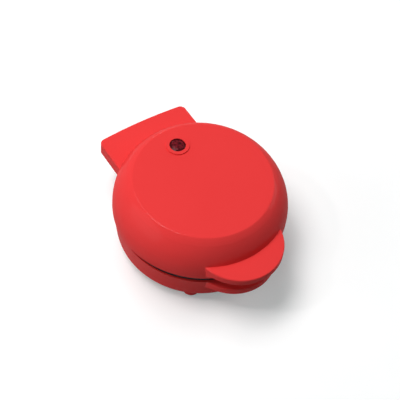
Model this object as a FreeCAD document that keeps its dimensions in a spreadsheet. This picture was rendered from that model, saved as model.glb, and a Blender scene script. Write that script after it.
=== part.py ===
"""Mini donut maker: a domed lid on a round base, with four ring moulds between them.

Millimetres, +Z up. The origin is on the floor, under the middle of the outline. The handle
points to -Y and the hinge is at +Y. Everything round shares one upright axis, which stands at
axis_y, and every body is drawn about that axis.
"""
import FreeCAD, Part
import math
import os
import Sketcher
import PartDesign

Vector = FreeCAD.Vector

# Driving sizes in mm, measured from the floor and from the round axis
SIZES = {
    # allowances: between pieces that rest together, past a face, and well past a face
    "seat_gap": 0.05,
    "overcut": 1.0,
    "beyond": 10.0,
    # outer form of the lid
    "lid_radius": 63.5,
    "top_height": 66.7,
    "side_radius": 36.0,
    "shoulder_radius": 19.0,
    "edge_radius": 1.8,
    "side_tilt": 48.0,
    "edge_tilt": 32.0,
    "shell_wall": 2.2,
    # seam between lid and base, and the slot that opens it at the front
    "seam_height": 35.2,
    "seam_gap": 0.4,
    "slot_start": 6.0,
    "slot_run": 39.0,
    "slot_rise": 1.7,
    "slot_drop": 4.35,
    # handle on the lid
    "handle_length": 15.8,
    "handle_radius": 32.7,
    "handle_top": 49.2,
    "handle_thickness": 5.3,
    "handle_cove": 6.5,
    # tail over the hinge
    "tail_length": 20.6,
    "tail_half_width": 37.0,
    "tail_top": 41.8,
    "tail_depth": 10.1,
    "tail_bow": 1.4,
    "tail_corner": 4.5,
    # base
    "foot_height": 1.6,
    "base_floor": 3.0,
    "rim_step": 0.6,
    "corner_radius": 12.0,
    "wall_lean": 6.6,
    "tab_length": 11.6,
    "tab_radius": 32.0,
    "tab_thickness": 5.7,
    "tab_cove": 6.0,
    "edge_round": 0.9,
    # feet
    "foot_radius": 5.0,
    "foot_x": 30.7,
    "foot_y": 40.0,
    "foot_stem_radius": 1.8,
    "foot_stem_end": 0.4,
    "foot_pad_margin": 1.2,
    "foot_boss": 0.8,
    # hinge
    "hinge_set_back": 9.0,
    "hinge_z": 33.5,
    "pin_radius": 1.75,
    "ear_radius": 5.2,
    "ear_inner_x": 17.0,
    "ear_width": 7.9,
    "ear_reach": 18.5,
    "ear_fall": 22.0,
    "ear_slope": 20.0,
    "knuckle_width": 4.2,
    "knuckle_gap": 0.3,
    "running_gap": 0.05,
    "pin_play": 0.2,
    "pin_end": 1.8,
    "pin_head_step": 1.1,
    "washer": 0.8,
    "washer_width": 2.2,
    # cooking plates
    "plate_gap": 0.3,
    "plate_slab": 3.0,
    "plate_land": 2.6,
    "ring_width": 10.2,
    "rim_wall": 1.1,
    "ring_edge_gap": 0.4,
    "ring_face": 2.8,
    "ring_depth": 12.95,
    "collar_inset": 5.1,
    "collar_wall": 2.2,
    "donut_middle": 12.4,
    "donut_tube": 7.2,
    "mould_wall": 2.2,
    "mould_flat": 5.0,
    "stud_inset": 22.5,
    "stud_radius": 3.4,
    "stud_height": 10.35,
    "stud_pilot": 7.0,
    "pilot_radius": 1.2,
    "clear_radius": 1.6,
    # ring fixings
    "boss_height": 7.0,
    "lug_width": 9.5,
    "lug_thickness": 2.5,
    "lug_end": 4.2,
    "post_inset": 8.1,
    "post_radius": 3.3,
    "base_post_inset": 13.5,
    "base_post_radius": 4.2,
    # heaters and reflectors
    "heater_radius": 3.2,
    "heater_fit": 0.1,
    "heater_half_gap": 20.0,
    "pin_turn": 3.0,
    "pin_length": 9.0,
    "sheet": 0.6,
    "reflector_margin": 4.2,
    "reflector_flat": 3.0,
    "reflector_gap": 0.3,
    # screws
    "head_radius": 2.6,
    "head_height": 1.9,
    "head_gap": 0.1,
    "recess_depth": 6.0,
    "plate_bite": 5.0,
    "post_bite": 6.5,
    "boss_bite": 4.5,
    "bracket_shank": 5.0,
    "block_shank": 3.0,
    # thermostat
    "cap_radius": 8.0,
    "cap_height": 4.0,
    "cap_clear": 1.0,
    "switch_radius": 6.6,
    "switch_height": 6.5,
    "blade_x": 3.6,
    "blade_width": 6.2,
    "blade_sheet": 0.8,
    "blade_length": 5.0,
    "bracket_reach": 14.5,
    "bracket_end": 3.5,
    "bracket_half": 8.0,
    "bracket_boss": 3.0,
    # thermal fuse
    "fuse_radius": 2.4,
    "fuse_length": 16.0,
    "fuse_y": -18.0,
    "fuse_gap": 0.3,
    "fuse_tail": 4.0,
    "wire_radius": 0.7,
    "clip_foot": 5.0,
    "clip_width": 5.0,
    # lens and lamp
    "lens_y": 34.0,
    "lens_radius": 5.8,
    "lens_fit": 0.1,
    "lens_stand": 0.2,
    "lens_table": 3.6,
    "lens_crown": 0.9,
    "lens_tail": 2.2,
    "socket_depth": 2.0,
    "lamp_room": 0.3,
    "lamp_gap": 0.2,
    "collar_radius": 8.5,
    "collar_height": 0.9,
    "lamp_radius": 2.6,
    "lamp_length": 9.0,
    "lamp_round": 1.56,
    # terminal block
    "block_pitch": 5.0,
    "block_y": 37.0,
    "block_height": 10.0,
    "block_half_depth": 5.0,
    "block_groove": 1.6,
    "block_well": 6.0,
    "block_way": 1.8,
    # cord inlet
    "inlet_height": 13.0,
    "inlet_radius": 3.6,
    "inlet_boss": 6.0,
    "inlet_stand": 1.0,
}

DIAGONAL = math.sqrt(0.5)
QUARTER_ELLIPSE = 0.5523
EIGHTH = 45.0
TOUCH = 0.01

doc = FreeCAD.newDocument("donut_maker")
sheet = doc.addObject("Spreadsheet::Sheet", "Sizes")
for row, (name, value) in enumerate(SIZES.items(), start=1):
    sheet.set("A%d" % row, name)
    sheet.set("B%d" % row, str(value))
    sheet.setAlias("B%d" % row, name)
doc.recompute()


class Size:
    """A length now, and the formula over the sheet's names that keeps it bound."""

    def __init__(self, value, text):
        self.value = float(value)
        self.text = text

    def joined(self, other, sign, value):
        return Size(value, "(%s %s %s)" % (self.text, sign, other.text))

    def __add__(self, other):
        other = size_of(other)
        return self.joined(other, "+", self.value + other.value)

    def __sub__(self, other):
        other = size_of(other)
        return self.joined(other, "-", self.value - other.value)

    def __mul__(self, other):
        other = size_of(other)
        return self.joined(other, "*", self.value * other.value)

    def __truediv__(self, other):
        other = size_of(other)
        return self.joined(other, "/", self.value / other.value)

    def __radd__(self, other):
        return size_of(other) + self

    def __rsub__(self, other):
        return size_of(other) - self

    def __rmul__(self, other):
        return size_of(other) * self

    def __neg__(self):
        return Size(-self.value, "(0 - %s)" % self.text)


def size_of(amount):
    """A plain number as a Size, or the Size itself."""
    if isinstance(amount, Size):
        return amount
    return Size(amount, "%.6f" % amount)


class Named:
    """Reads a driving size by its name."""

    def __getattr__(self, name):
        return Size(SIZES[name], "Sizes." + name)


size = Named()


def bind(thing, path, amount):
    """Tie a property to its formula."""
    thing.setExpression(path, size_of(amount).text)


def sine(angle):
    """Sine of an angle in degrees, bound like the angle itself."""
    return Size(math.sin(math.radians(angle.value)), "sin(%s)" % angle.text)


def cosine(angle):
    """Cosine of an angle in degrees, bound like the angle itself."""
    return Size(math.cos(math.radians(angle.value)), "cos(%s)" % angle.text)


def other_leg(longest, leg):
    """The third side of a right-angled triangle, from its longest side and one other."""
    third = math.sqrt(longest.value ** 2 - leg.value ** 2)
    return Size(third, "sqrt(%s ^ 2 - %s ^ 2)" % (longest.text, leg.text))


# Sizes worked out from the driving ones
handle_reach = size.lid_radius + size.handle_length
tail_reach = size.lid_radius + size.tail_length
hinge_y = size.lid_radius + size.hinge_set_back
axis_y = (handle_reach - tail_reach) / 2
lean_sine = sine(size.wall_lean)
lean_cosine = cosine(size.wall_lean)
side_sine = sine(size.side_tilt)
side_cosine = cosine(size.side_tilt)
edge_sine = sine(size.edge_tilt)
edge_cosine = cosine(size.edge_tilt)
side_step = size.side_radius - size.shoulder_radius
edge_step = size.shoulder_radius - size.edge_radius
side_middle_x = size.lid_radius - size.side_radius
side_middle_z = (size.top_height - size.edge_radius
                 - edge_step * edge_cosine - side_step * side_cosine)
shoulder_middle_x = side_middle_x + side_step * side_sine
shoulder_middle_z = side_middle_z + side_step * side_cosine
flat_radius = shoulder_middle_x + edge_step * edge_sine
base_radius = size.lid_radius - size.rim_step
tab_reach = base_radius + size.tab_length
base_post_circle = size.lid_radius - size.base_post_inset
stud_circle = size.lid_radius - size.stud_inset
lug_inner = stud_circle - size.lug_end
reflector_rim = stud_circle + size.reflector_margin
reflector_step = stud_circle - size.reflector_flat
base_rim = size.seam_height - size.seam_gap
parting = size.seam_height - size.seam_gap / 2
slot_top = size.seam_height + size.slot_rise
slot_bottom = base_rim - size.slot_drop
corner_z = size.base_floor + size.corner_radius
wall_foot_z = corner_z - size.corner_radius * lean_sine
wall_foot_x = base_radius - (base_rim - wall_foot_z) * lean_sine / lean_cosine
corner_x = wall_foot_x - size.corner_radius * lean_cosine
rebate_radius = base_radius - size.rim_wall / lean_cosine
ring_outer = rebate_radius - size.ring_edge_gap
ring_inner = ring_outer - size.ring_width + size.ring_edge_gap
plate_radius = ring_inner - size.ring_edge_gap
mould_reach = size.donut_middle + size.donut_tube
mould_circle = plate_radius - size.plate_land - mould_reach
mould_depth = size.donut_tube + size.mould_wall
collar_outer = size.lid_radius - size.collar_inset
post_diagonal = (size.lid_radius - size.post_inset) * DIAGONAL
heater_depth = mould_depth + size.heater_radius + size.heater_fit
reflector_seat = size.ring_depth + size.seat_gap
reflector_face = heater_depth + size.heater_radius + size.reflector_gap
reflector_rise = reflector_face - reflector_seat
head_seat = reflector_seat + size.sheet + size.seat_gap
lid_inner_top = size.top_height - size.shell_wall
collar_top = size.top_height + size.collar_height
tail_bottom = size.tail_top - size.tail_depth
floor_top = size.base_floor + size.shell_wall
foot_grip = floor_top + size.foot_boss - size.foot_height
bracket_depth = mould_depth + size.cap_height + size.seat_gap * 4
fuse_depth = reflector_face + size.sheet + size.fuse_radius + size.fuse_gap
clip_depth = fuse_depth - size.fuse_radius - size.fuse_gap + size.seat_gap
block_top = floor_top + size.block_height
pin_reach = (size.ear_inner_x + size.ear_width + size.knuckle_gap + size.knuckle_width
             + size.pin_play)


class Side:
    """One side of the parting plane: heights behind that side's cooking face."""

    def __init__(self, sign):
        self.sign = sign
        self.face = parting + size.plate_gap / 2 * sign

    def height(self, depth):
        return self.face + size_of(depth) * self.sign

    @property
    def up(self):
        return self.sign > 0


LID = Side(1)
BASE = Side(-1)

nodes = []


def new_body(label, turn=0.0):
    """A body drawn about the round axis, which can be turned about it."""
    body = doc.addObject("PartDesign::Body", label)
    body.Label = label
    upright = Vector(0, 0, 1)
    body.Placement = FreeCAD.Placement(Vector(0, 0, 0), FreeCAD.Rotation(upright, turn))
    bind(body, "Placement.Base.y", axis_y)
    nodes.append(body)
    return body


def origin_part(body, role):
    """One of the body's own origin planes or axes."""
    return [part for part in body.Origin.OriginFeatures if part.Role == role][0]


class Outline:
    """Closed loops on one of a body's planes, with every corner tied to its formula.

    On the XZ plane the two directions are X and Z, and on the YZ plane they are Y and Z.
    """

    def __init__(self, body, name, plane="XY", height=0.0):
        self.body = body
        self.name = name
        self.sketch = body.newObject("Sketcher::SketchObject", name)
        self.sketch.AttachmentSupport = [(origin_part(body, plane + "_Plane"), "")]
        self.sketch.MapMode = "FlatFace"
        bind(self.sketch, "AttachmentOffset.Base.z", height)

    def constrain(self, *details):
        return self.sketch.addConstraint(Sketcher.Constraint(*details))

    def place(self, piece, end, across, along):
        """Tie one point of a sketch piece to its two distances from the origin."""
        for kind, axis, amount in (("DistanceX", -2, across), ("DistanceY", -1, along)):
            amount = size_of(amount)
            if amount.value == 0:
                self.constrain("PointOnObject", piece, end, axis)
            else:
                row = self.constrain(kind, piece, end, amount.value)
                self.sketch.setExpression("Constraints[%d]" % row, amount.text)

    def radius(self, piece, amount):
        amount = size_of(amount)
        row = self.constrain("Radius", piece, amount.value)
        self.sketch.setExpression("Constraints[%d]" % row, amount.text)

    def start(self, across, along):
        """Begin a loop at a corner."""
        self.corner = (size_of(across), size_of(along))
        self.first_corner = self.corner
        self.first_end = None
        self.last_end = None
        return self

    def join(self, piece, head, tail, corner):
        """Chain a new piece to the loop, and tie its far end unless it closes the loop."""
        if self.last_end is None:
            self.first_end = (piece, head)
            self.place(piece, head, *self.first_corner)
        else:
            self.constrain("Coincident", self.last_end[0], self.last_end[1], piece, head)
        if corner is None:
            self.constrain("Coincident", piece, tail, self.first_end[0], self.first_end[1])
        else:
            self.place(piece, tail, *corner)
            self.corner = corner
        self.last_end = (piece, tail)

    def ends(self, corner):
        target = self.first_corner if corner is None else corner
        tail = Vector(target[0].value, target[1].value, 0)
        head = Vector(self.corner[0].value, self.corner[1].value, 0)
        return head, tail

    def line(self, across, along):
        corner = (size_of(across), size_of(along))
        return self.add_line(corner)

    def add_line(self, corner):
        head, tail = self.ends(corner)
        piece = self.sketch.addGeometry(Part.LineSegment(head, tail), False)
        self.join(piece, 1, 2, corner)
        return self

    def close(self):
        """Close the loop with a straight side."""
        return self.add_line(None)

    def arc(self, across, along, radius, turn="left", closing=False):
        """An arc of under half a circle to a corner, turning left or right on the way."""
        corner = None if closing else (size_of(across), size_of(along))
        head, tail = self.ends(corner)
        radius = size_of(radius)
        chord = tail - head
        side = Vector(-chord.y, chord.x, 0).normalize()
        rise = math.sqrt(radius.value ** 2 - (chord.Length / 2) ** 2)
        if turn == "right":
            rise = -rise
        centre = (head + tail) * 0.5 + side * rise
        angles = [math.atan2(p.y - centre.y, p.x - centre.x) for p in (head, tail)]
        circle = Part.Circle(centre, Vector(0, 0, 1), radius.value)
        if turn == "left":
            shape = Part.ArcOfCircle(circle, angles[0], angles[1])
            piece = self.sketch.addGeometry(shape, False)
            self.join(piece, 1, 2, corner)
        else:
            shape = Part.ArcOfCircle(circle, angles[1], angles[0])
            piece = self.sketch.addGeometry(shape, False)
            self.join(piece, 2, 1, corner)
        self.radius(piece, radius)
        return self

    def curve(self, pull_out, pull_in, across, along):
        """A smooth curve to a corner, drawn by two pull points."""
        corner = (size_of(across), size_of(along))
        head, tail = self.ends(corner)
        pulls = [(size_of(x), size_of(y)) for x, y in (pull_out, pull_in)]
        poles = [head] + [Vector(x.value, y.value, 0) for x, y in pulls] + [tail]
        shape = Part.BSplineCurve()
        shape.buildFromPolesMultsKnots(poles, [4, 4], [0, 1], False, 3)
        piece = self.sketch.addGeometry(shape, False)
        helpers = self.sketch.GeometryCount
        self.sketch.exposeInternalGeometry(piece)
        self.join(piece, 1, 2, corner)
        for offset, (x, y) in zip((1, 2), pulls):
            self.place(helpers + offset, 3, x, y)
        return self

    def circle(self, across, along, radius):
        """A full circle."""
        across, along, radius = size_of(across), size_of(along), size_of(radius)
        centre = Vector(across.value, along.value, 0)
        shape = Part.Circle(centre, Vector(0, 0, 1), radius.value)
        piece = self.sketch.addGeometry(shape, False)
        if across.value == 0 and along.value == 0:
            self.constrain("Coincident", piece, 3, -1, 1)
        else:
            self.place(piece, 3, across, along)
        self.radius(piece, radius)
        return self

    def box(self, low_across, low_along, high_across, high_along):
        """An upright rectangle."""
        self.start(low_across, low_along)
        self.line(high_across, low_along)
        self.line(high_across, high_along)
        self.line(low_across, high_along)
        return self.close()

    def turning_line(self, across):
        """A construction line parallel to the second direction, to revolve about."""
        across = size_of(across)
        low = Vector(across.value, 1, 0)
        high = Vector(across.value, 9, 0)
        piece = self.sketch.addGeometry(Part.LineSegment(low, high), True)
        self.place(piece, 1, across, 1.0)
        self.place(piece, 2, across, 9.0)
        return self


def feature(outline, kind, suffix):
    """A new feature of an outline's body that uses the outline as its profile."""
    made = outline.body.newObject("PartDesign::" + kind, outline.name + suffix)
    made.Profile = outline.sketch
    return made


def pad(outline, length, down=False, both=False):
    """Raise an outline into a solid."""
    made = feature(outline, "Pad", "_pad")
    bind(made, "Length", length)
    made.Reversed = down
    if both:
        made.SideType = "Symmetric"
    return made


def pad_to_wall(outline, down=False):
    """Raise an outline until it meets the wall that is already there."""
    made = feature(outline, "Pad", "_pad")
    made.Type = "UpToFirst"
    made.Reversed = down
    return made


def pocket(outline, length=None, up=False, both=False):
    """Cut an outline out, to a depth or right through, downwards unless told otherwise."""
    made = feature(outline, "Pocket", "_pocket")
    if length is None:
        made.Type = "ThroughAll"
    else:
        bind(made, "Length", length)
    made.Reversed = up
    if both:
        made.SideType = "Symmetric"
    return made


def revolve(outline, angle=360.0, axis="V_Axis"):
    """Turn an outline into a solid, about the upright axis unless told otherwise."""
    angle = size_of(angle)
    made = feature(outline, "Revolution", "_turn")
    made.ReferenceAxis = (outline.sketch, [axis])
    bind(made, "Angle", angle)
    if angle.value < 360.0:
        made.Midplane = True
    return made


def groove(outline, axis="V_Axis"):
    """Cut an outline away all round."""
    made = feature(outline, "Groove", "_cut")
    made.ReferenceAxis = (outline.sketch, [axis])
    made.Angle = 360.0
    return made


def around(body, features, count, angle=360.0):
    """Repeat features about the upright axis."""
    made = body.newObject("PartDesign::PolarPattern", features[0].Name + "_around")
    made.Originals = features
    made.Axis = (origin_part(body, "Z_Axis"), [""])
    made.Angle = angle
    made.Occurrences = count
    body.Tip = made
    return made


def mirrored(body, features):
    """Repeat features on the other side of the YZ plane."""
    made = body.newObject("PartDesign::Mirrored", features[0].Name + "_mirror")
    made.Originals = features
    made.MirrorPlane = (origin_part(body, "YZ_Plane"), [""])
    body.Tip = made
    return made


def rounded(body, base, radius, chosen):
    """Round the edges of a feature that pass a test."""
    doc.recompute()
    edges = base.Shape.Edges
    names = ["Edge%d" % (i + 1) for i, edge in enumerate(edges) if chosen(edge)]
    made = body.newObject("PartDesign::Fillet", base.Name + "_round")
    made.Base = (base, names)
    bind(made, "Radius", radius)
    body.Tip = made
    return made


def dome_outline(body, name, inset):
    """Half of the lid's profile: upright rim, wide side arc, shoulder arc, edge arc, flat top.

    The wall's inner face has the same arcs with the wall taken off, and a plain inner corner
    under the edge, because the edge is tighter than the wall is thick.
    """
    side = size.side_radius - inset
    shoulder = size.shoulder_radius - inset
    wall = size.lid_radius - inset
    top = size.top_height - inset
    outside = inset.value == 0
    rim = size.seam_height if outside else tail_bottom - size.beyond
    outline = Outline(body, name, "XZ")
    outline.start(0, rim)
    outline.line(wall, rim)
    outline.line(wall, side_middle_z)
    outline.arc(side_middle_x + side * side_sine, side_middle_z + side * side_cosine, side)
    if outside:
        outline.arc(shoulder_middle_x + shoulder * edge_sine,
                    shoulder_middle_z + shoulder * edge_cosine, shoulder)
        outline.arc(flat_radius, top, size.edge_radius)
    else:
        corner = other_leg(shoulder, top - shoulder_middle_z)
        outline.arc(shoulder_middle_x + corner, top, shoulder)
    outline.line(0, top)
    return outline.close()


def crescent_pad(body, name, reach, radius, top, thickness, cove, wall):
    """A finger tab on a round wall.

    In plan it is half a disc with a rounded top edge. Its underside sweeps down into the wall.
    """
    middle = reach - radius
    root = top - thickness - cove
    plan = Outline(body, name, height=top)
    plan.start(-radius, -middle)
    plan.arc(0, -reach, radius)
    plan.arc(radius, -middle, radius)
    plan.close()
    pad(plan, thickness + cove + size.overcut, down=True)
    under = Outline(body, name + "_underside", "XZ")
    far = reach + size.beyond
    under.start(wall, root)
    under.arc(wall + cove, root + cove, cove, "right")
    under.line(far, root + cove)
    under.line(far, root - size.beyond)
    under.line(wall, root - size.beyond)
    under.close()
    return rounded(body, groove(under), size.edge_round,
                   lambda edge: on_top_rim(edge, top, -middle))


def on_top_rim(edge, top, front):
    """True for an edge that lies level at a height and reaches in front of a line."""
    box = edge.BoundBox
    level = abs(box.ZMin - top.value) < TOUCH and abs(box.ZMax - top.value) < TOUCH
    return level and box.YMin < front.value - 1


def slot_outline(body, name, edge, level, far):
    """The quarter-ellipse sweep of a rim from the closed seam to the level front."""
    start = -size.slot_start
    end = start - size.slot_run
    outline = Outline(body, name, "YZ")
    outline.start(start, edge)
    outline.curve((start, edge + (level - edge) * QUARTER_ELLIPSE),
                  (end + size.slot_run * (1 - QUARTER_ELLIPSE), level), end, level)
    outline.line(-size.lid_radius - size.beyond, level)
    outline.line(-size.lid_radius - size.beyond, far)
    outline.line(start, far)
    return outline.close()


def make_lid_shell():
    """The moulded dome with its handle, tail, lens collar, screw posts and hinge webs."""
    body = new_body("lid_shell")
    crescent_pad(body, "handle", handle_reach, size.handle_radius, size.handle_top,
                 size.handle_thickness, size.handle_cove, size.lid_radius)
    tail_pad(body)
    revolve(dome_outline(body, "dome", size_of(0)))
    clear = Outline(body, "base_clearance", "XZ")
    clear.box(0, tail_bottom - size.beyond, size.lid_radius, size.seam_height)
    groove(clear)
    collar = Outline(body, "lens_collar", height=size.top_height)
    collar.circle(0, size.lens_y, size.collar_radius)
    pad(collar, size.collar_height)
    pocket(slot_outline(body, "front_slot", size.seam_height, slot_top,
                        size.seam_height - size.beyond), both=True)
    groove(dome_outline(body, "dome_inside", size.shell_wall))
    hollow = tail_hollow(body)
    pocket(hollow, size.tail_depth - size.shell_wall, up=True)
    lens_hole = Outline(body, "lens_hole", height=collar_top + size.overcut)
    lens_hole.circle(0, size.lens_y, size.lens_radius + size.lens_fit)
    pocket(lens_hole, size.shell_wall + size.collar_height + size.overcut * 2)
    post_foot = LID.height(size.ring_depth + size.seat_gap * 3)
    post = Outline(body, "ring_post", height=post_foot)
    post.circle(post_diagonal, post_diagonal, size.post_radius)
    around(body, [pad_to_wall(post)], 4)
    pilot = Outline(body, "ring_pilot", height=post_foot)
    pilot.circle(post_diagonal, post_diagonal, size.pilot_radius)
    around(body, [pocket(pilot, size.post_bite + size.overcut, up=True)], 4)
    knuckles(body)


def bow_radius(half):
    """Radius of the tail's bowed rear edge, from its half width and its rise."""
    return (half * half + size.tail_bow * size.tail_bow) / (size.tail_bow * 2)


def tail_plan(body, name, inset, height, front):
    """The tongue behind the dome, with a bowed rear edge and rounded corners, left open in front."""
    half = size.tail_half_width - inset
    shoulder = tail_reach - inset - size.tail_bow
    corner = size.tail_corner - inset
    bow = bow_radius(half - corner)
    plan = Outline(body, name, height=height)
    plan.start(half, front)
    plan.line(half, shoulder - corner)
    plan.arc(half - corner, shoulder, corner)
    plan.arc(-half + corner, shoulder, bow)
    plan.arc(-half, shoulder - corner, corner)
    plan.line(-half, front)
    return plan


def tail_pad(body):
    """The tail's block, with its outer top edge rounded."""
    front = size.lid_radius / 2
    plan = tail_plan(body, "tail", size_of(0), size.tail_top, front)
    plan.close()
    block = pad(plan, size.tail_depth, down=True)
    top = size.tail_top.value
    rounded(body, block, size.edge_round,
            lambda edge: edge.BoundBox.ZMin > top - TOUCH and edge.BoundBox.YMax > front.value + 1)


def tail_hollow(body):
    """The open underside of the tail, up to the dome's own wall."""
    half = size.tail_half_width - size.shell_wall
    # The front edge follows the dome: its height on the dome's circle at the hollow's side
    front = other_leg(size.lid_radius, half)
    plan = tail_plan(body, "tail_hollow", size.shell_wall, tail_bottom, front)
    return plan.arc(half, front, size.lid_radius, "right", closing=True)


def knuckles(body):
    """The two lid webs that hang from the tail round the hinge pin."""
    inner = size.ear_inner_x + size.ear_width + size.knuckle_gap
    barrel = Outline(body, "knuckle", "YZ", height=inner)
    barrel.circle(hinge_y, size.hinge_z, size.ear_radius)
    web = Outline(body, "knuckle_web", "YZ", height=inner)
    web.box(hinge_y - size.ear_radius, size.hinge_z,
            hinge_y + size.ear_radius, size.tail_top - size.shell_wall / 2)
    both = [pad(barrel, size.knuckle_width), pad(web, size.knuckle_width)]
    mirrored(body, both)
    bore = Outline(body, "knuckle_bore", "YZ")
    bore.circle(hinge_y, size.hinge_z, size.pin_radius + size.running_gap)
    pocket(bore, (inner + size.knuckle_width + size.overcut) * 2, both=True)


def base_outline(body, name, inset):
    """Half of the bowl's profile: flat floor, round corner and a wall that leans outwards."""
    corner = size.corner_radius - inset
    rim = base_radius - inset / lean_cosine
    outline = Outline(body, name, "XZ")
    outline.start(0, size.base_floor + inset)
    outline.line(corner_x, size.base_floor + inset)
    outline.arc(corner_x + corner * lean_cosine, corner_z - corner * lean_sine, corner)
    outline.line(rim, base_rim)
    top = base_rim
    if inset.value > 0:
        top = base_rim + size.beyond
        outline.line(rim, top)
    outline.line(0, top)
    return outline.close()


def make_base_shell():
    """The moulded bowl with its tab, hinge ears, cord inlet, posts and foot pads."""
    body = new_body("base_shell")
    crescent_pad(body, "tab", tab_reach, size.tab_radius, slot_bottom,
                 size.tab_thickness, size.tab_cove, wall_foot_x)
    revolve(base_outline(body, "bowl", size_of(0)))
    pocket(slot_outline(body, "front_slot", base_rim, slot_bottom, base_rim + size.beyond),
           both=True)
    hinge_ears(body)
    inlet_face = -size.lid_radius - size.inlet_stand
    inlet = Outline(body, "inlet", "XZ", height=inlet_face)
    inlet.circle(0, size.inlet_height, size.inlet_boss)
    pad(inlet, size.lid_radius / 2)
    groove(base_outline(body, "bowl_inside", size.shell_wall))
    ledge = Outline(body, "ring_ledge", "XZ")
    ledge.start(ring_inner, slot_bottom)
    ledge.line(rebate_radius - size.slot_drop * lean_sine / lean_cosine, slot_bottom)
    ledge.line(rebate_radius, base_rim)
    ledge.line(rebate_radius, base_rim + size.overcut)
    ledge.line(ring_inner, base_rim + size.overcut)
    ledge.close()
    groove(ledge)
    inlet_hole = Outline(body, "inlet_hole", "XZ", height=inlet_face - size.overcut)
    inlet_hole.circle(0, size.inlet_height, size.inlet_radius)
    pocket(inlet_hole, size.lid_radius / 2, up=True)
    post = Outline(body, "post", height=BASE.height(size.ring_depth + size.seat_gap))
    post.circle(base_post_circle, 0, size.base_post_radius)
    around(body, [pad_to_wall(post, down=True)], 3, -180.0)
    screw_way(body)
    foot_pads(body)


def hinge_ears(body):
    """The two base ears that carry the hinge pin behind the bowl."""
    neck = hinge_y - size.ear_radius
    barrel = Outline(body, "ear", "YZ", height=size.ear_inner_x)
    barrel.circle(hinge_y, size.hinge_z, size.ear_radius)
    arm = Outline(body, "ear_arm", "YZ", height=size.ear_inner_x)
    root = hinge_y - size.ear_reach
    arm.start(neck, size.hinge_z)
    arm.line(hinge_y, size.hinge_z)
    arm.line(hinge_y - size.ear_radius * sine(size.ear_slope),
             size.hinge_z - size.ear_radius * cosine(size.ear_slope))
    arm.line(root, size.hinge_z - size.ear_fall)
    arm.line(root, size.hinge_z - size.ear_radius / 2)
    arm.line(neck, size.hinge_z - size.ear_radius / 2)
    arm.close()
    both = [pad(barrel, size.ear_width), pad(arm, size.ear_width)]
    mirrored(body, both)
    bore = Outline(body, "ear_bore", "YZ")
    bore.circle(hinge_y, size.hinge_z, size.pin_radius + size.running_gap)
    pocket(bore, (size.ear_inner_x + size.ear_width + size.overcut) * 2, both=True)


def screw_way(body):
    """The three screw holes from below, each with a recess for the head."""
    hole = Outline(body, "screw_hole", height=0.0)
    hole.circle(base_post_circle, 0, size.clear_radius)
    recess = Outline(body, "screw_recess", height=0.0)
    recess.circle(base_post_circle, 0, size.head_radius + size.head_gap * 3)
    cuts = [pocket(hole, BASE.height(size.ring_depth - size.overcut), up=True),
            pocket(recess, size.base_floor + size.recess_depth, up=True)]
    around(body, cuts, 3, -180.0)


def foot_pads(body):
    """Four pads under the bowl, each with a hole for a foot's stem."""
    places = [(side * size.foot_x, end * size.foot_y) for side in (-1, 1) for end in (-1, 1)]
    pads = Outline(body, "foot_pads", height=size.foot_height)
    holes = Outline(body, "foot_holes", height=size.foot_height)
    for x, y in places:
        pads.circle(x, y, size.foot_radius + size.foot_pad_margin)
        holes.circle(x, y, size.foot_stem_radius + size.running_gap)
    pad(pads, foot_grip)
    pocket(holes, foot_grip + size.overcut, up=True)


def make_foot(label, side, end):
    """A rubber foot: a flat sole, and a stem pushed into its pad."""
    body = new_body(label)
    x = side * size.foot_x
    y = end * size.foot_y
    sole = Outline(body, "sole")
    sole.circle(x, y, size.foot_radius)
    pad(sole, size.foot_height)
    stem = Outline(body, "stem", height=size.foot_height)
    stem.circle(x, y, size.foot_stem_radius)
    pad(stem, foot_grip + size.foot_stem_end)


def make_ring(label, side):
    """The black surround: a face ring, a collar behind it, and lugs for the plate screws."""
    body = new_body(label)
    if side.up:
        edge = size.lid_radius - size.shell_wall - size.ring_edge_gap
        edge_back = edge
        flange = size.ring_face
    else:
        flange = side.face - slot_bottom - size.seat_gap
        edge = ring_outer
        edge_back = ring_outer - flange * lean_sine / lean_cosine
    face = Outline(body, "face", "XZ")
    face.start(ring_inner, side.height(0))
    face.line(edge, side.height(0))
    face.line(edge_back, side.height(flange))
    face.line(collar_outer, side.height(flange))
    face.line(collar_outer, side.height(size.ring_depth))
    face.line(collar_outer - size.collar_wall, side.height(size.ring_depth))
    face.line(collar_outer - size.collar_wall, side.height(size.ring_face))
    face.line(ring_inner, side.height(size.ring_face))
    face.close()
    revolve(face)
    half = size.lug_width / 2
    lug = Outline(body, "lug", height=side.height(size.ring_depth - size.lug_thickness))
    lug.box(lug_inner, -half, collar_outer - size.collar_wall / 2, half)
    around(body, [pad(lug, size.lug_thickness, down=not side.up)], 4)
    if side.up:
        post = Outline(body, "post", height=side.height(0))
        post.circle(post_diagonal, post_diagonal, size.post_radius)
        around(body, [pad(post, size.ring_depth)], 4)
        recess = Outline(body, "recess", height=side.height(0))
        recess.circle(post_diagonal, post_diagonal, size.head_radius + size.head_gap)
        through = Outline(body, "through", height=side.height(0))
        through.circle(post_diagonal, post_diagonal, size.clear_radius)
        cuts = [pocket(recess, size.recess_depth, up=True),
                pocket(through, size.ring_depth + size.overcut, up=True)]
        around(body, cuts, 4)
    else:
        boss = Outline(body, "boss", height=side.height(size.ring_depth))
        boss.circle(base_post_circle, 0, size.post_radius)
        around(body, [pad(boss, size.boss_height)], 3, -180.0)
        pilot = Outline(body, "pilot", height=side.height(size.ring_depth))
        pilot.circle(base_post_circle, 0, size.pilot_radius)
        around(body, [pocket(pilot, size.boss_height - size.overcut, up=True)], 3, -180.0)
    hole = Outline(body, "plate_screw_hole", height=side.height(0))
    hole.circle(stud_circle, 0, size.clear_radius)
    around(body, [pocket(hole, size.ring_depth + size.overcut, up=side.up)], 4)


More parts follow.
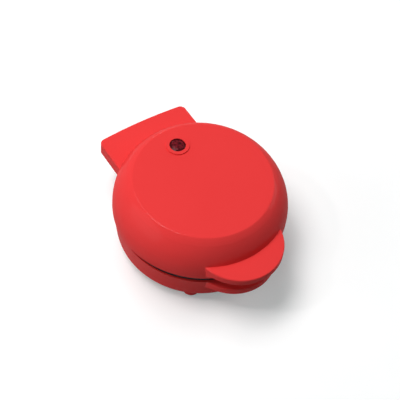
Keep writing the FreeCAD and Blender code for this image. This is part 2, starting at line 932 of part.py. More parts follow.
def make_plate(label, side):
    """A cast plate with four ring moulds. It is drawn with a mould on X and turned by 45 degrees."""
    body = new_body(label, turn=EIGHTH)
    disc = Outline(body, "disc", height=side.height(0))
    disc.circle(0, 0, plate_radius)
    pad(disc, size.plate_slab, down=not side.up)
    bulge = Outline(body, "bulge", "XZ")
    bulge.turning_line(mould_circle)
    bulge.start(mould_circle, side.height(size.overcut))
    bulge.line(mould_circle, side.height(mould_depth))
    bulge.line(mould_circle + size.donut_middle + size.mould_flat, side.height(mould_depth))
    bulge.line(mould_circle + mould_reach + size.mould_wall, side.height(size.overcut))
    bulge.close()
    around(body, [revolve(bulge, axis="Axis0")], 4)
    boss_xy = size.bracket_reach * DIAGONAL
    if not side.up:
        pillar = Outline(body, "pillar", height=side.height(size.overcut))
        pillar.circle(0, 0, size.switch_radius)
        pad(pillar, mould_depth - size.overcut, down=True)
        bosses = Outline(body, "bracket_bosses", height=side.height(size.overcut))
        for sign in (-1, 1):
            bosses.circle(sign * boss_xy, -sign * boss_xy, size.bracket_boss)
        pad(bosses, bracket_depth - size.overcut, down=True)
    mould = Outline(body, "mould", "XZ")
    mould.turning_line(mould_circle)
    mould.circle(mould_circle + size.donut_middle, side.height(0), size.donut_tube)
    around(body, [groove(mould, axis="Axis0")], 4)
    stud_xy = stud_circle * DIAGONAL
    stud = Outline(body, "stud", height=side.height(size.overcut))
    stud.circle(stud_xy, stud_xy, size.stud_radius)
    around(body, [pad(stud, size.stud_height - size.overcut, down=not side.up)], 4)
    pilot = Outline(body, "pilot", height=side.height(size.stud_height))
    pilot.circle(stud_xy, stud_xy, size.pilot_radius)
    around(body, [pocket(pilot, size.stud_pilot, up=not side.up)], 4)
    if not side.up:
        holes = Outline(body, "bracket_pilots", height=side.height(bracket_depth))
        for sign in (-1, 1):
            holes.circle(sign * boss_xy, -sign * boss_xy, size.pilot_radius)
        pocket(holes, size.stud_pilot, up=True)


def make_heater(label, side):
    """The tubular element, open at the rear, with a terminal pin at each end."""
    body = new_body(label)
    tube = Outline(body, "tube", "YZ")
    tube.circle(-mould_circle, side.height(heater_depth), size.heater_radius)
    revolve(tube, angle=360.0 - size.heater_half_gap * 2)
    turn = size.heater_half_gap + size.pin_turn
    pins = Outline(body, "pins", height=side.height(heater_depth))
    for sign in (-1, 1):
        pins.circle(mould_circle * sine(turn) * sign, mould_circle * cosine(turn),
                    size.heater_radius / 2)
    pad(pins, size.pin_length, down=not side.up)


def make_reflector(label, side):
    """A pressed sheet: its rim lies on the ring's lugs and its middle is raised off the tube."""
    body = new_body(label)
    low = reflector_seat
    high = reflector_face
    sheet_edge = Outline(body, "pressing", "XZ")
    sheet_edge.start(0, side.height(high))
    sheet_edge.line(reflector_step - reflector_rise, side.height(high))
    sheet_edge.line(reflector_step, side.height(low))
    sheet_edge.line(reflector_rim, side.height(low))
    sheet_edge.line(reflector_rim, side.height(low + size.sheet))
    sheet_edge.line(reflector_step + size.sheet / 2, side.height(low + size.sheet))
    sheet_edge.line(reflector_step - reflector_rise + size.sheet / 2,
                    side.height(high + size.sheet))
    sheet_edge.line(0, side.height(high + size.sheet))
    sheet_edge.close()
    revolve(sheet_edge)
    holes = Outline(body, "screw_holes", height=side.height(0))
    for x, y in ((1, 0), (0, 1), (-1, 0), (0, -1)):
        holes.circle(stud_circle * x, stud_circle * y, size.clear_radius)
    turn = size.heater_half_gap + size.pin_turn
    for sign in (-1, 1):
        holes.circle(mould_circle * sine(turn) * sign, mould_circle * cosine(turn),
                     size.heater_radius)
    if not side.up:
        holes.circle(0, 0, size.cap_radius + size.cap_clear)
    pocket(holes, high + size.beyond, up=side.up)


def cylinder(name, x, y, z, radius, height):
    """An upright cylinder that stands on a height."""
    made = doc.addObject("Part::Cylinder", name)
    bind(made, "Radius", radius)
    bind(made, "Height", height)
    bind(made, "Placement.Base.x", x)
    bind(made, "Placement.Base.y", size_of(y) + axis_y)
    bind(made, "Placement.Base.z", z)
    return made


def make_screws(label, places, head_top, points_up, shank):
    """Identical screws as one node: a head whose outer face is at a height, and a shank."""
    screws = []
    for number, (x, y) in enumerate(places):
        head_low = head_top if points_up else head_top - size.head_height
        shank_low = head_top + size.head_height if points_up else head_low - shank
        head = cylinder("%s_head_%d" % (label, number), x, y, head_low,
                        size.head_radius, size.head_height)
        body = cylinder("%s_shank_%d" % (label, number), x, y, shank_low,
                        size.pilot_radius - size.running_gap, shank)
        screw = doc.addObject("Part::Fuse", "%s_%d" % (label, number))
        screw.Base = head
        screw.Tool = body
        screws.append(screw)
    group = doc.addObject("Part::Compound", label)
    group.Label = label
    group.Links = screws
    nodes.append(group)


def make_all_screws():
    """Every set of screws, seated just under its head."""
    cross = [(stud_circle * x, stud_circle * y)
             for x, y in ((1, 0), (0, 1), (-1, 0), (0, -1))]
    corners = [(post_diagonal * x, post_diagonal * y) for x in (-1, 1) for y in (-1, 1)]
    base = [(base_post_circle * x, base_post_circle * y)
            for x, y in ((1, 0), (0, -1), (-1, 0))]
    plate_shank = head_seat - size.stud_height + size.plate_bite
    make_screws("upper_plate_screws", cross, LID.height(head_seat + size.head_height), False,
                plate_shank)
    make_screws("lower_plate_screws", cross, BASE.height(head_seat + size.head_height), True,
                plate_shank)
    make_screws("upper_ring_screws", corners,
                LID.height(size.recess_depth - size.seat_gap - size.head_height), True,
                size.ring_depth - size.recess_depth + size.post_bite)
    base_seat = size.base_floor + size.recess_depth - size.seat_gap
    make_screws("base_screws", base, base_seat - size.head_height, True,
                BASE.height(size.ring_depth) - base_seat + size.boss_bite)
    bracket = [(size.bracket_reach * x, size_of(0)) for x in (-1, 1)]
    bracket_seat = bracket_depth + size.sheet + size.seat_gap * 2
    make_screws("thermostat_screws", bracket, BASE.height(bracket_seat + size.head_height),
                True, size.bracket_shank)
    terminal = [(size.block_pitch * x, size.block_y) for x in (-1, 1)]
    make_screws("terminal_screws", terminal, block_top + size.head_height + size.seat_gap,
                False, size.block_shank)


def make_terminal_block():
    """The two-way connector for the supply leads, standing on the bowl's floor."""
    body = new_body("terminal_block")
    front = size.block_y - size.block_half_depth
    rear = size.block_y + size.block_half_depth
    half = size.block_pitch * 2
    block = Outline(body, "block", height=floor_top)
    block.box(-half, front, half, rear)
    pad(block, size.block_height)
    divide = Outline(body, "divide", height=block_top)
    divide.box(-size.block_groove / 2, front - size.overcut,
               size.block_groove / 2, rear + size.overcut)
    pocket(divide, size.block_well)
    ways = Outline(body, "ways", "XZ", height=-rear - size.overcut)
    wells = Outline(body, "wells", height=block_top)
    for sign in (-1, 1):
        ways.circle(size.block_pitch * sign, block_top - size.block_well, size.block_way)
        wells.circle(size.block_pitch * sign, size.block_y, size.pilot_radius)
    pocket(ways, rear - front + size.overcut * 2, up=True)
    pocket(wells, size.block_well)


def make_thermostat():
    """A disc thermostat: metal cap against the plate's pillar, body and two blades below it."""
    body = new_body("thermostat")
    top = mould_depth + size.seat_gap * 2
    bottom = top + size.cap_height + size.switch_height
    profile = Outline(body, "profile", "XZ")
    profile.start(0, BASE.height(top))
    profile.line(size.cap_radius, BASE.height(top))
    profile.line(size.cap_radius, BASE.height(top + size.cap_height))
    profile.line(size.switch_radius, BASE.height(top + size.cap_height))
    profile.line(size.switch_radius, BASE.height(bottom))
    profile.line(0, BASE.height(bottom))
    profile.close()
    revolve(profile)
    blades = Outline(body, "blades", height=BASE.height(bottom))
    half = size.blade_width / 2
    for sign in (-1, 1):
        middle = size.blade_x * sign
        blades.box(middle - size.blade_sheet / 2, -half, middle + size.blade_sheet / 2, half)
    pad(blades, size.blade_length, down=True)


def make_thermostat_bracket():
    """The sheet strap that clamps the thermostat's cap against the plate."""
    body = new_body("thermostat_bracket")
    strap = Outline(body, "strap", height=BASE.height(bracket_depth + size.seat_gap))
    reach = size.bracket_reach + size.bracket_end
    half = size.bracket_half
    strap.start(-reach, -half / 3)
    strap.line(-size.cap_radius, -half)
    strap.line(size.cap_radius, -half)
    strap.line(reach, -half / 3)
    strap.line(reach, half / 3)
    strap.line(size.cap_radius, half)
    strap.line(-size.cap_radius, half)
    strap.line(-reach, half / 3)
    strap.close()
    strap.circle(0, 0, size.switch_radius + size.seat_gap * 2)
    for sign in (-1, 1):
        strap.circle(size.bracket_reach * sign, 0, size.clear_radius)
    pad(strap, size.sheet, down=True)


def make_thermal_fuse():
    """The one-shot fuse in its sleeve, lying along X under the lower reflector."""
    body = new_body("thermal_fuse")
    case = Outline(body, "case", "YZ")
    case.circle(size.fuse_y, BASE.height(fuse_depth), size.fuse_radius)
    pad(case, size.fuse_length, both=True)
    tails = Outline(body, "tails", "YZ")
    tails.circle(size.fuse_y, BASE.height(fuse_depth), size.wire_radius)
    pad(tails, size.fuse_length + size.fuse_tail * 2, both=True)


def make_fuse_clip():
    """A saddle strip that holds the fuse up against the reflector."""
    body = new_body("fuse_clip")
    inner = size.fuse_radius + size.seat_gap * 2
    outer = inner + size.sheet
    end = outer + size.clip_foot
    top = BASE.height(clip_depth)
    foot = BASE.height(clip_depth + size.sheet)
    middle = BASE.height(fuse_depth)
    y = size.fuse_y
    strip = Outline(body, "strip", "YZ")
    strip.start(y - end, top)
    strip.line(y - inner, top)
    strip.line(y - inner, middle)
    strip.arc(y, middle - inner, inner)
    strip.arc(y + inner, middle, inner)
    strip.line(y + inner, top)
    strip.line(y + end, top)
    strip.line(y + end, foot)
    strip.line(y + outer, foot)
    strip.line(y + outer, middle)
    strip.arc(y, middle - outer, outer, "right")
    strip.arc(y - outer, middle, outer, "right")
    strip.line(y - outer, foot)
    strip.line(y - end, foot)
    strip.close()
    pad(strip, size.clip_width, both=True)


def make_hinge_pin():
    """A plain steel pin with a head, and the push-on clip near its other end."""
    body = new_body("hinge_pin")
    shaft = Outline(body, "shaft", "YZ")
    shaft.circle(hinge_y, size.hinge_z, size.pin_radius)
    pad(shaft, (pin_reach + size.pin_end) * 2, both=True)
    head = Outline(body, "head", "YZ", height=pin_reach)
    head.circle(hinge_y, size.hinge_z, size.pin_radius + size.pin_head_step)
    pad(head, size.pin_end)
    clip = new_body("hinge_clip")
    washer = Outline(clip, "washer", "YZ", height=-pin_reach)
    washer.circle(hinge_y, size.hinge_z, size.pin_radius + size.washer_width)
    washer.circle(hinge_y, size.hinge_z, size.pin_radius + size.running_gap)
    pad(washer, size.washer, down=True)


def octagon(body, name, height, radius, turn=0.0):
    """An eight-sided loop round the lens's middle, with its first corner turned off the X axis."""
    outline = Outline(body, name, height=height)
    for corner in range(8):
        angle = math.radians(turn + EIGHTH * corner)
        x = radius * round(math.cos(angle), 9)
        y = size.lens_y + radius * round(math.sin(angle), 9)
        if corner == 0:
            outline.start(x, y)
        else:
            outline.line(x, y)
    return outline.close()


def make_lens():
    """The tinted lens: a cut crown in the collar, a stem, and a socket for the lamp below."""
    body = new_body("indicator_lens")
    girdle = size.top_height + size.lens_stand
    stem = Outline(body, "stem", height=girdle)
    stem.circle(0, size.lens_y, size.lens_radius)
    pad(stem, size.shell_wall + size.lens_stand + size.lens_tail, down=True)
    lower = octagon(body, "crown_foot", girdle, size.lens_radius)
    upper = octagon(body, "crown_table", girdle + size.lens_crown, size.lens_table,
                    turn=EIGHTH / 2)
    crown = body.newObject("PartDesign::AdditiveLoft", "crown")
    crown.Profile = lower.sketch
    crown.Sections = [upper.sketch]
    crown.Ruled = True
    socket = Outline(body, "socket", height=lid_inner_top - size.lens_tail)
    socket.circle(0, size.lens_y, size.lamp_radius + size.lamp_room)
    pocket(socket, size.socket_depth, up=True)
    retainer = new_body("lens_retainer")
    washer = Outline(retainer, "washer", height=lid_inner_top - size.seat_gap * 2)
    washer.circle(0, size.lens_y, size.lens_radius + size.washer_width)
    washer.circle(0, size.lens_y, size.lens_radius + size.running_gap)
    pad(washer, size.washer, down=True)


def make_lamp():
    """The neon lamp in the lens socket, and the sleeve round its leads."""
    body = new_body("indicator_lamp")
    top = lid_inner_top - size.lens_tail + size.socket_depth - size.lamp_gap
    bulb = Outline(body, "bulb", height=top)
    bulb.circle(0, size.lens_y, size.lamp_radius)
    glass = pad(bulb, size.lamp_length, down=True)
    rounded(body, glass, size.lamp_round, lambda edge: edge.BoundBox.ZMin > top.value - TOUCH)
    sleeve = new_body("lamp_sleeve")
    tube = Outline(sleeve, "tube", height=lid_inner_top - size.lens_tail - size.seat_gap * 2)
    tube.circle(0, size.lens_y, size.lamp_radius + size.seat_gap * 2 + size.washer)
    tube.circle(0, size.lens_y, size.lamp_radius + size.seat_gap * 2)
    pad(tube, size.lamp_length, down=True)


make_lid_shell()
make_base_shell()
for name, side in (("upper", LID), ("lower", BASE)):
    make_ring(name + "_ring", side)
    make_plate(name + "_plate", side)
    make_heater(name + "_heater", side)
    make_reflector(name + "_reflector", side)
make_all_screws()
make_thermostat()
make_thermostat_bracket()
make_thermal_fuse()
make_fuse_clip()
make_terminal_block()
make_hinge_pin()
make_lens()
make_lamp()
for end_name, end in (("front", -1), ("rear", 1)):
    for side_name, side in (("left", -1), ("right", 1)):
        make_foot("foot_%s_%s" % (end_name, side_name), side, end)

doc.recompute()
for item in doc.Objects:
    if "Invalid" in item.State or "Error" in item.State:
        raise RuntimeError("%s is %s" % (item.Label, item.State))
for node in nodes:
    if node.Shape.isNull() or not node.Shape.isValid():
        raise RuntimeError("%s has no valid shape" % node.Label)

os.makedirs("parts", exist_ok=True)
for node in nodes:
    node.Shape.exportStep("parts/%s.step" % node.Label)
    box = node.Shape.BoundBox
    print("%-22s solids %d volume %9.1f  x %6.1f %6.1f  y %6.1f %6.1f  z %5.1f %5.1f" % (
        node.Label, len(node.Shape.Solids), node.Shape.Volume, box.XMin, box.XMax,
        box.YMin, box.YMax, box.ZMin, box.ZMax))
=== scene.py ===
"""Mini donut maker: finishes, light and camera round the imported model. Metres, +Z up."""
import math
import bmesh
import bpy
import numpy as np
from mathutils import Matrix, Vector


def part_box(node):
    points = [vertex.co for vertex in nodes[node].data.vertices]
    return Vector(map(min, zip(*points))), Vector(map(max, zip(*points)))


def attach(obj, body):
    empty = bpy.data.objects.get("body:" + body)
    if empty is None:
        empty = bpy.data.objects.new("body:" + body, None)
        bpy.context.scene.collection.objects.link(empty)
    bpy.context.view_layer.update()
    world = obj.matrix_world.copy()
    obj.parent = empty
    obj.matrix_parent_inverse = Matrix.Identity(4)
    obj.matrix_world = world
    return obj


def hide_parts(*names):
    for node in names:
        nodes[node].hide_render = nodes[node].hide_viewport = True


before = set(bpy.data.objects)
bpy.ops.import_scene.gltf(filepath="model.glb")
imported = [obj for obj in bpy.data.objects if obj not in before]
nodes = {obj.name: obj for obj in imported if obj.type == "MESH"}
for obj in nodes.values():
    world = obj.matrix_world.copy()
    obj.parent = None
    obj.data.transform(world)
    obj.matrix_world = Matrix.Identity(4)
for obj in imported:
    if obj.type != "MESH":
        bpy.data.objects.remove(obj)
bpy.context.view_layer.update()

scene = bpy.context.scene

IMAGE = 400
PRINCIPLED = "ShaderNodeBsdfPrincipled"
GOLDEN_RATIO = (1 + 5 ** 0.5) / 2


class Wire:
    """One output of a shader node, used in plain arithmetic."""

    def __init__(self, finish, socket):
        self.finish = finish
        self.socket = socket

    def maths(self, operation, first, second):
        settings = {"operation": operation}
        return self.finish.node("ShaderNodeMath", settings, {0: first, 1: second})

    def __add__(self, other):
        return self.maths("ADD", self, other)

    __radd__ = __add__

    def __sub__(self, other):
        return self.maths("SUBTRACT", self, other)

    def __rsub__(self, other):
        return self.maths("SUBTRACT", other, self)

    def __mul__(self, other):
        return self.maths("MULTIPLY", self, other)

    __rmul__ = __mul__

    def __truediv__(self, other):
        return self.maths("DIVIDE", self, other)

    def __pow__(self, other):
        return self.maths("POWER", self, other)

    def above(self, edge):
        """1 where the value is over the edge, else 0."""
        return self.maths("GREATER_THAN", self, edge)

    def at_least(self, other):
        return self.maths("MAXIMUM", self, other)

    def between(self, low, high):
        """0 at low and 1 at high, smooth in between."""
        settings = {"interpolation_type": "SMOOTHSTEP"}
        return self.finish.node("ShaderNodeMapRange", settings, {0: self, 1: low, 2: high})


class Finish:
    """A material, or the world, built up node by node."""

    def __init__(self, holder):
        holder.use_nodes = True
        self.holder = holder
        self.tree = holder.node_tree
        self.tree.nodes.clear()

    def node(self, kind, settings=None, sockets=None, output=0):
        """Add a node: its settings first, then the values or links of its sockets."""
        made = self.tree.nodes.new(kind)
        for name, value in (settings or {}).items():
            if name == "stops":
                self.set_stops(made.color_ramp, value)
            else:
                setattr(made, name, value)
        for name, value in (sockets or {}).items():
            if isinstance(value, Wire):
                self.tree.links.new(value.socket, made.inputs[name])
            else:
                made.inputs[name].default_value = value
        return Wire(self, made.outputs[output])

    def set_stops(self, ramp, stops):
        while len(ramp.elements) < len(stops):
            ramp.elements.new(1.0)
        for element, (position, colour) in zip(ramp.elements, stops):
            element.position = position
            element.color = colour

    def place(self, scale=(1, 1, 1), turn=(0, 0, 0), centre=(0, 0, 0)):
        """Object coordinates, centred on a point, turned and stretched."""
        here = self.node("ShaderNodeTexCoord", output="Object")
        moved = self.node("ShaderNodeVectorMath", {"operation": "SUBTRACT"}, {0: here, 1: centre})
        return self.node("ShaderNodeMapping", {}, {"Vector": moved, "Scale": scale,
                                                   "Rotation": turn})

    def noise(self, scale, detail=2.0, place=None):
        """Cloudy variation from 0 to 1, with blotches about 1/scale metres wide."""
        place = place or self.place()
        return self.node("ShaderNodeTexNoise", {}, {"Vector": place, "Scale": scale,
                                                    "Detail": detail})

    def cells(self, scale, place=None):
        """Distance to the nearest of many scattered points, about 1/scale metres apart."""
        place = place or self.place()
        return self.node("ShaderNodeTexVoronoi", {}, {"Vector": place, "Scale": scale})

    def blend(self, amount, first, second):
        """A colour between two colours."""
        settings = {"data_type": "RGBA", "clamp_factor": True}
        return self.node("ShaderNodeMix", settings, {0: amount, 6: first, 7: second}, output=2)

    def bumps(self, height, depth, under=None):
        """A surface normal pushed in and out by a height field, depth in metres."""
        sockets = {"Height": height, "Distance": depth}
        if under is not None:
            sockets["Normal"] = under
        return self.node("ShaderNodeBump", {}, sockets)

    def surface(self, **sockets):
        """The finished surface. Words are socket names with _ for each space."""
        named = {name.replace("_", " "): value for name, value in sockets.items()}
        shader = self.node(PRINCIPLED, {}, named)
        self.output(shader)
        return self.holder

    def output(self, shader, kind="ShaderNodeOutputMaterial"):
        self.node_out = self.tree.nodes.new(kind)
        self.tree.links.new(shader.socket, self.node_out.inputs["Surface"])


def rgb(red, green, blue):
    return (red, green, blue, 1.0)


def new_finish(name):
    return Finish(bpy.data.materials.new(name))


def red_plastic():
    """Glossy injection-moulded shell: even red, with faint cloudiness and fine orange peel."""
    f = new_finish("red_plastic")
    cloud = f.noise(22, 3)
    speck = f.noise(1500, 1)
    deep = rgb(0.735, 0.038, 0.038)
    plain = rgb(0.780, 0.044, 0.044)
    colour = f.blend(cloud * 0.6 + speck * 0.4, deep, plain)
    rough = 0.33 + (cloud - 0.5) * 0.05 + (speck - 0.5) * 0.06
    peel = f.bumps(f.noise(900, 2), 0.000002)
    return f.surface(Base_Color=colour, Roughness=rough, Normal=peel, Specular_IOR_Level=0.0,
                     Coat_Weight=0.10 + cloud * 0.04, Coat_Roughness=0.04)


def black_plastic():
    """Satin heat-proof plastic with a spark-eroded grain."""
    f = new_finish("black_plastic")
    grain = f.noise(2600, 2)
    cloud = f.noise(40, 3)
    colour = f.blend(cloud, rgb(0.007, 0.006, 0.006), rgb(0.018, 0.015, 0.015))
    rough = 0.46 + grain * 0.14
    return f.surface(Base_Color=colour, Roughness=rough, Normal=f.bumps(grain, 0.00003),
                     Specular_IOR_Level=0.2)


def non_stick():
    """Dark coating on cast aluminium: sprayed texture with paler flecks."""
    f = new_finish("non_stick")
    spray = f.noise(1900, 3)
    fleck = 1 - f.cells(750).between(0.05, 0.16)
    cloud = f.noise(60, 3)
    ground = f.blend(cloud, rgb(0.022, 0.022, 0.024), rgb(0.040, 0.039, 0.040))
    colour = f.blend(fleck * 0.55, ground, rgb(0.17, 0.165, 0.16))
    rough = 0.34 + spray * 0.16 - fleck * 0.08
    return f.surface(Base_Color=colour, Roughness=rough, Normal=f.bumps(spray, 0.00004),
                     Metallic=0.25)


def element_steel():
    """Oxidised heater sheath with straw and blue-grey heat tints."""
    f = new_finish("element_steel")
    tint = f.noise(55, 4)
    soot = f.noise(900, 3)
    warm = f.blend(tint.between(0.4, 0.65), rgb(0.13, 0.12, 0.115), rgb(0.20, 0.165, 0.12))
    colour = f.blend(soot.between(0.45, 0.75), warm, rgb(0.07, 0.068, 0.07))
    return f.surface(Base_Color=colour, Roughness=0.42 + soot * 0.2, Metallic=0.85,
                     Normal=f.bumps(soot, 0.00003))


def rolled_sheet():
    """Thin aluminised sheet with the long lines of the rolling mill."""
    f = new_finish("rolled_sheet")
    line = f.noise(240, 4, f.place(scale=(0.04, 1, 1)))
    spangle = f.cells(260)
    colour = f.blend(line * 0.6 + spangle * 0.4, rgb(0.50, 0.50, 0.51), rgb(0.72, 0.72, 0.73))
    return f.surface(Base_Color=colour, Roughness=0.26 + line * 0.16, Metallic=1.0,
                     Normal=f.bumps(line, 0.00002))


def zinc_screw():
    """Bright zinc plating with a faint yellow cast and small handling marks."""
    f = new_finish("zinc_screw")
    mark = f.noise(1400, 4)
    colour = f.blend(mark, rgb(0.62, 0.60, 0.54), rgb(0.78, 0.77, 0.74))
    return f.surface(Base_Color=colour, Roughness=0.24 + mark * 0.2, Metallic=1.0,
                     Normal=f.bumps(mark, 0.00002))


def bakelite():
    """Dark brown moulded resin, faintly mottled."""
    f = new_finish("bakelite")
    mottle = f.noise(420, 5)
    colour = f.blend(mottle.between(0.35, 0.7), rgb(0.030, 0.019, 0.014), rgb(0.075, 0.046, 0.032))
    return f.surface(Base_Color=colour, Roughness=0.36 + mottle * 0.12,
                     Normal=f.bumps(mottle, 0.00002))


def white_plastic():
    """Off-white nylon with a little yellowing."""
    f = new_finish("white_plastic")
    age = f.noise(160, 3)
    grain = f.noise(2200, 2)
    colour = f.blend(age, rgb(0.80, 0.78, 0.72), rgb(0.70, 0.67, 0.58))
    return f.surface(Base_Color=colour, Roughness=0.42 + grain * 0.12,
                     Normal=f.bumps(grain, 0.00002))


def turned_steel():
    """Drawn pin steel with fine rings left by the lathe along X."""
    f = new_finish("turned_steel")
    ring = f.noise(3500, 2, f.place(scale=(1, 0.05, 0.05)))
    oil = f.noise(150, 3)
    colour = f.blend(oil, rgb(0.42, 0.42, 0.43), rgb(0.60, 0.60, 0.61))
    return f.surface(Base_Color=colour, Roughness=0.22 + ring * 0.2, Metallic=1.0,
                     Normal=f.bumps(ring, 0.00001))


def lens_plastic():
    """Tinted clear plastic, dark because the lamp behind it is off. Each face of the cut lens has
    a painted glint of its own, and painted shade darkens its rim.
    """
    f = new_finish("lens_plastic")
    swirl = f.noise(350, 3)
    # painted glints and painted rim shade, one value for each face, set in make_lens; the swirl is
    # a real uneven tint
    painted_glints = f.node("ShaderNodeAttribute", {"attribute_name": "facet"}, output="Fac")
    colour = f.blend(painted_glints * 0.8 + swirl * 0.2, rgb(0.022, 0.001, 0.002), rgb(0.210, 0.009, 0.018))
    return f.surface(Base_Color=colour, Roughness=0.30 + swirl * 0.06,
                     Normal=f.bumps(f.noise(900, 1), 0.000004), Specular_IOR_Level=0.0,
                     Coat_Weight=0.10 + swirl * 0.03, Coat_Roughness=0.03)


def lamp_glass():
    """Small clear glass envelope, a little clouded inside."""
    f = new_finish("lamp_glass")
    cloud = f.noise(700, 3)
    colour = f.blend(cloud, rgb(0.90, 0.80, 0.74), rgb(0.96, 0.92, 0.88))
    return f.surface(Base_Color=colour, Roughness=0.04 + cloud * 0.08, IOR=1.47,
                     Transmission_Weight=0.9, Normal=f.bumps(cloud, 0.000005))


def foot_rubber():
    """Soft rubber with a dusty matt skin, dark red: partly its own red and partly painted shade
    for the shade it stands in under the base.
    """
    f = new_finish("foot_rubber")
    dust = f.noise(1200, 4)
    # dark red partly painted shade; the dust noise only varies the tone
    colour = f.blend(dust.between(0.4, 0.8), rgb(0.115, 0.012, 0.016), rgb(0.16, 0.030, 0.034))
    return f.surface(Base_Color=colour, Roughness=0.68 + dust * 0.15,
                     Normal=f.bumps(dust, 0.00004))


FINISHES = {
    "red_shell": red_plastic(),
    "black_plastic": black_plastic(),
    "non_stick": non_stick(),
    "element_steel": element_steel(),
    "sheet_metal": rolled_sheet(),
    "screw_steel": zinc_screw(),
    "bakelite": bakelite(),
    "white_plastic": white_plastic(),
    "pin_steel": turned_steel(),
    "red_lens": lens_plastic(),
    "lamp_glass": lamp_glass(),
    "foot_rubber": foot_rubber(),
}


def dress_nodes():
    """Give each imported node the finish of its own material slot."""
    for node in nodes.values():
        for slot in node.material_slots:
            slot.material = FINISHES[slot.material.name.split(".")[0]]


def make_lens():
    """The cut lens of the pilot light, as rings of facets about its own upright axis.

    Each ring has its radius, height and turn; its points are (r cos(a + t), r sin(a + t), z) for
    equal steps of the angle a. Every second ring is turned by half a step, so the bands between
    them are flat triangles. The first and last rings are single points. Each face carries a
    painted glint, the fraction left of its number n times the golden ratio, and painted shade
    makes the rim darker than the middle.
    """
    low, high = (np.array(corner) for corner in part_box("indicator_lens"))
    middle = (low + high) / 2
    rim = (high[0] - low[0]) / 2
    top = high[2]
    bottom = low[2]
    hollow = bottom + 0.0020
    rings = np.array([
        (0.00 * rim, top, 0.0),
        (0.50 * rim, top, 0.0),
        (0.78 * rim, top - 0.00030, 0.5),
        (1.00 * rim, top - 0.00088, 0.0),
        (1.00 * rim, bottom, 0.0),
        (0.50 * rim, bottom, 0.0),
        (0.50 * rim, hollow, 0.0),
        (0.00 * rim, hollow, 0.0),
    ])
    count = 14
    angle = 2 * np.pi * (np.arange(count)[None, :] + rings[:, 2:3]) / count
    points = np.stack([middle[0] + rings[:, 0:1] * np.cos(angle),
                       middle[1] + rings[:, 0:1] * np.sin(angle),
                       np.broadcast_to(rings[:, 1:2], angle.shape)], axis=-1).reshape(-1, 3)
    row, column = np.meshgrid(np.arange(len(rings) - 1), np.arange(count), indexing="ij")
    beside = (column + 1) % count
    first = row * count + column
    second = (row + 1) * count + column
    third = (row + 1) * count + beside
    fourth = row * count + beside
    turned = (rings[row, 2] < rings[row + 1, 2])[..., None, None]
    one_way = np.stack([np.stack([first, second, fourth], axis=-1),
                        np.stack([fourth, second, third], axis=-1)], axis=-2)
    other_way = np.stack([np.stack([first, second, third], axis=-1),
                          np.stack([first, third, fourth], axis=-1)], axis=-2)
    faces = np.where(turned, one_way, other_way).reshape(-1, 3)
    mesh = bpy.data.meshes.new("lens_cut")
    mesh.from_pydata(points.tolist(), [], faces.tolist())
    # Painted light: each face gets a painted glint, a fixed brightness from the golden ratio
    facet = mesh.attributes.new("facet", "FLOAT", "FACE")
    order = np.arange(len(faces))
    # Painted shade: the rim ring's faces and all faces below them are dimmed to a quarter
    painted_rim_shade = 1 - 0.75 * (order >= 4 * count)
    facet.data.foreach_set("value", (order * GOLDEN_RATIO) % 1.0 * painted_rim_shade)
    work = bmesh.new()
    work.from_mesh(mesh)
    bmesh.ops.remove_doubles(work, verts=work.verts, dist=1e-7)
    bmesh.ops.recalc_face_normals(work, faces=work.faces)
    work.to_mesh(mesh)
    work.free()
    lens = bpy.data.objects.new("lens_cut", mesh)
    scene.collection.objects.link(lens)
    mesh.materials.append(FINISHES["red_lens"])
    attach(lens, "lid")
    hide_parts("indicator_lens")


def to_backdrop(finish):
    """1 for what the camera sees directly or in gloss and glass, and 0 for light on surfaces."""
    kind = "ShaderNodeLightPath"
    seen = finish.node(kind, output="Is Camera Ray")
    gloss = finish.node(kind, output="Is Glossy Ray")
    glass = finish.node(kind, output="Is Transmission Ray")
    return seen.at_least(gloss).at_least(glass)


def make_floor():
    """A pale table that reads white where it is lit and keeps the shadow."""
    reach = 2.5
    side = np.linspace(-reach, reach, 3)
    x, y = np.meshgrid(side, side)
    points = np.stack([x, y, np.zeros_like(x)], axis=-1).reshape(-1, 3)
    corner = np.array([0, 1, 3, 4])
    faces = corner[:, None] + np.array([0, 1, 4, 3])
    mesh = bpy.data.meshes.new("table")
    mesh.from_pydata(points.tolist(), [], faces.tolist())
    table = bpy.data.objects.new("table", mesh)
    scene.collection.objects.link(table)
    f = new_finish("table_top")
    paper = f.noise(60, 3)
    colour = f.blend(paper, rgb(0.82, 0.78, 0.78), rgb(0.84, 0.80, 0.80))
    lit = f.node("ShaderNodeBsdfDiffuse", {}, {"Color": colour})
    glow = f.node("ShaderNodeEmission", {}, {"Color": rgb(0.8, 1, 1), "Strength": FLOOR_GLOW})
    near = f.node("ShaderNodeAddShader", {}, {0: lit, 1: glow})
    far = f.node("ShaderNodeEmission", {}, {"Color": rgb(1, 1, 1), "Strength": 1.0})
    away = f.node("ShaderNodeVectorMath", {"operation": "LENGTH"}, {0: f.place()}, output="Value")
    beyond = away.between(0.28, 0.60)
    shown = f.node("ShaderNodeMixShader", {}, {0: beyond, 1: near, 2: far})
    bounced = f.node("ShaderNodeBsdfDiffuse", {}, {"Color": FLOOR_BOUNCE})
    f.output(f.node("ShaderNodeMixShader", {}, {0: to_backdrop(f), 1: bounced, 2: shown}))
    mesh.materials.append(f.holder)


def make_room():
    """White round the object for the camera and for gloss, and a soft even light on it."""
    world = bpy.data.worlds.new("studio")
    scene.world = world
    f = Finish(world)
    soft = f.node("ShaderNodeBackground", {}, {"Color": rgb(1, 1, 1), "Strength": ROOM_LIGHT})
    white = f.node("ShaderNodeBackground", {}, {"Color": rgb(1, 1, 1), "Strength": 1.0})
    mixed = f.node("ShaderNodeMixShader", {}, {0: to_backdrop(f), 1: soft, 2: white})
    f.output(mixed, "ShaderNodeOutputWorld")


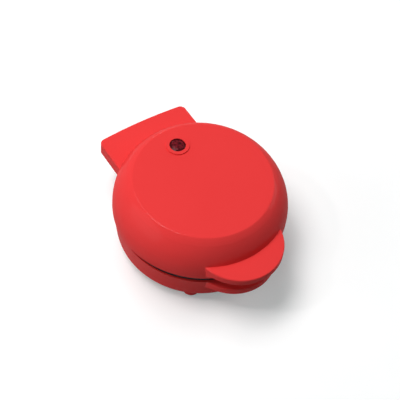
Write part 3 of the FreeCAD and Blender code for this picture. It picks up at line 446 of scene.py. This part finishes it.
def add_lamp(name, azimuth, height, distance, size, power):
    """A round area lamp that faces the object. Azimuth 0 is in front and 90 on the right."""
    lamp = bpy.data.lights.new(name, "AREA")
    lamp.shape = "DISK"
    lamp.size = size
    lamp.energy = power
    thing = bpy.data.objects.new(name, lamp)
    scene.collection.objects.link(thing)
    azimuth, height = math.radians(azimuth), math.radians(height)
    way = Vector((math.sin(azimuth) * math.cos(height),
                  -math.cos(azimuth) * math.cos(height), math.sin(height)))
    thing.location = Vector((0, 0, 0.04)) + way * distance
    thing.rotation_euler = way.to_track_quat("Z", "Y").to_euler()


# Light levels and the lamps: azimuth, height, distance, size and power
FLOOR_GLOW = 0.255
FLOOR_BOUNCE = rgb(0.35, 0.35, 0.35)
ROOM_LIGHT = 0.10
LAMPS = {
    "key": (240, 68, 1.3, 0.6, 9.5),
    "rear": (182, 68, 1.3, 0.6, 4.6),
    "right": (88, 24, 1.3, 0.9, 4.2),
    "left": (256, 16, 1.3, 1.2, 5.4),
    "rim": (165, 9, 1.3, 0.35, 2.2),
    "spark": (250, 50, 1.2, 0.05, 1.0),
}


def make_camera():
    """A long lens from above the front left corner, turned a little about its own axis."""
    azimuth = math.radians(-39.4)
    height = math.radians(54.42)
    roll = math.radians(7.79)
    distance = 0.72913
    aim = Vector((0, -0.0024, 0.035))
    back = Vector((math.sin(azimuth) * math.cos(height),
                   -math.cos(azimuth) * math.cos(height), math.sin(height)))
    right = Vector((math.cos(azimuth), math.sin(azimuth), 0))
    up = back.cross(right)
    across = right * math.cos(roll) + up * math.sin(roll)
    along = up * math.cos(roll) - right * math.sin(roll)
    data = bpy.data.cameras.new("camera")
    data.sensor_width = 36.0
    data.lens = 1004.28 * data.sensor_width / IMAGE
    data.shift_x = 0.00025
    data.shift_y = 0.0121
    camera = bpy.data.objects.new("camera", data)
    scene.collection.objects.link(camera)
    turned = Matrix((across, along, back)).transposed().to_4x4()
    camera.matrix_world = Matrix.Translation(aim + back * distance) @ turned
    scene.camera = camera


dress_nodes()
make_lens()
make_floor()
make_room()
for lamp_name, lamp_values in LAMPS.items():
    add_lamp(lamp_name, *lamp_values)
make_camera()

scene.view_settings.view_transform = "Standard"
